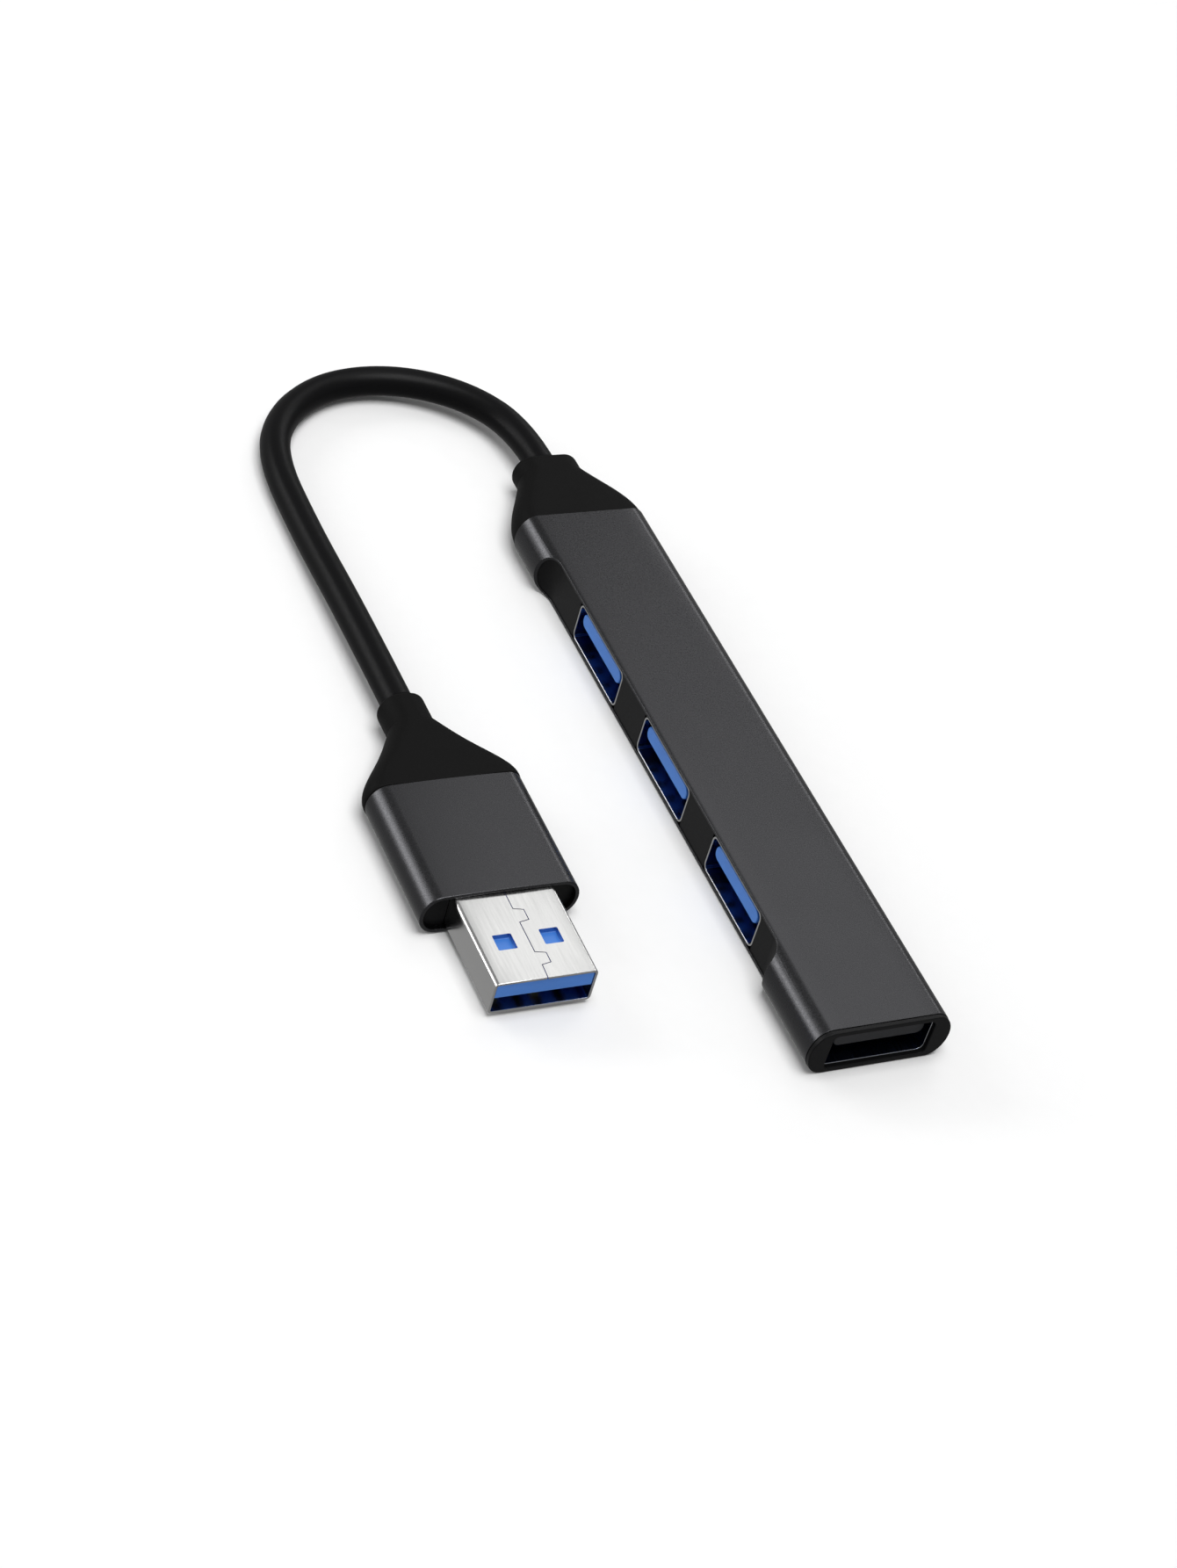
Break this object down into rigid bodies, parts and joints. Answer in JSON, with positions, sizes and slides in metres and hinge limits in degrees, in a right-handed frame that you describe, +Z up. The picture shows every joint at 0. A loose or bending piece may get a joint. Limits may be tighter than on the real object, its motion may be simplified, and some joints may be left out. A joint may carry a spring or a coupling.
{
  "type": "usb hub",
  "caption": "Slim flat aluminium data hub with ports along one side and at the end, on a short captive cable that turns back to its plug.",
  "frame": {"origin": "centre of the hub body's underside", "axes": "+X along the body towards the end port, +Y away from the side ports, +Z up out of the resting surface; the cable leaves at -X"},
  "size_m": [0.1207, 0.052, 0.0062],
  "materials": {
    "anodised_aluminium": "satin anodised dark grey",
    "black_plastic": "moulded black ABS",
    "circuit_board": "green solder mask over glass epoxy",
    "chip_plastic": "moulded black epoxy",
    "crystal_can": "nickel-plated lid",
    "capacitor_ceramic": "tan fired ceramic with tinned ends",
    "solder": "bright tin",
    "boot_elastomer": "matt black thermoplastic elastomer",
    "wire_insulation": "extruded insulation",
    "cable_jacket": "satin black extruded jacket",
    "nickel_steel": "nickel-plated drawn steel",
    "blue_plastic": "moulded blue thermoplastic",
    "dark_plastic": "moulded near-black thermoplastic",
    "gold_contacts": "gold-flashed copper alloy"
  },
  "bodies": {
    "root": {"board_capacitors": "capacitor_ceramic", "cable": "cable_jacket", "circuit_board": "circuit_board", "clock_crystal": "crystal_can", "end_cap": "black_plastic", "end_port_contacts": "gold_contacts", "end_port_shell": "nickel_steel", "end_port_tongue": "dark_plastic", "housing": "anodised_aluminium", "hub_boot": "boot_elastomer", "hub_controller": "chip_plastic", "hub_wires": "wire_insulation", "inner_frame": "black_plastic", "plug_boot": "boot_elastomer", "plug_carrier": "black_plastic", "plug_contacts": "gold_contacts", "plug_insulator": "blue_plastic", "plug_shell": "nickel_steel", "plug_sleeve": "anodised_aluminium", "plug_wires": "wire_insulation", "side_port_1_contacts": "gold_contacts", "side_port_1_shell": "nickel_steel", "side_port_1_tongue": "blue_plastic", "side_port_2_contacts": "gold_contacts", "side_port_2_shell": "nickel_steel", "side_port_2_tongue": "blue_plastic", "side_port_3_contacts": "gold_contacts", "side_port_3_shell": "nickel_steel", "side_port_3_tongue": "blue_plastic", "solder_joints": "solder"}
  },
  "joints": []
}
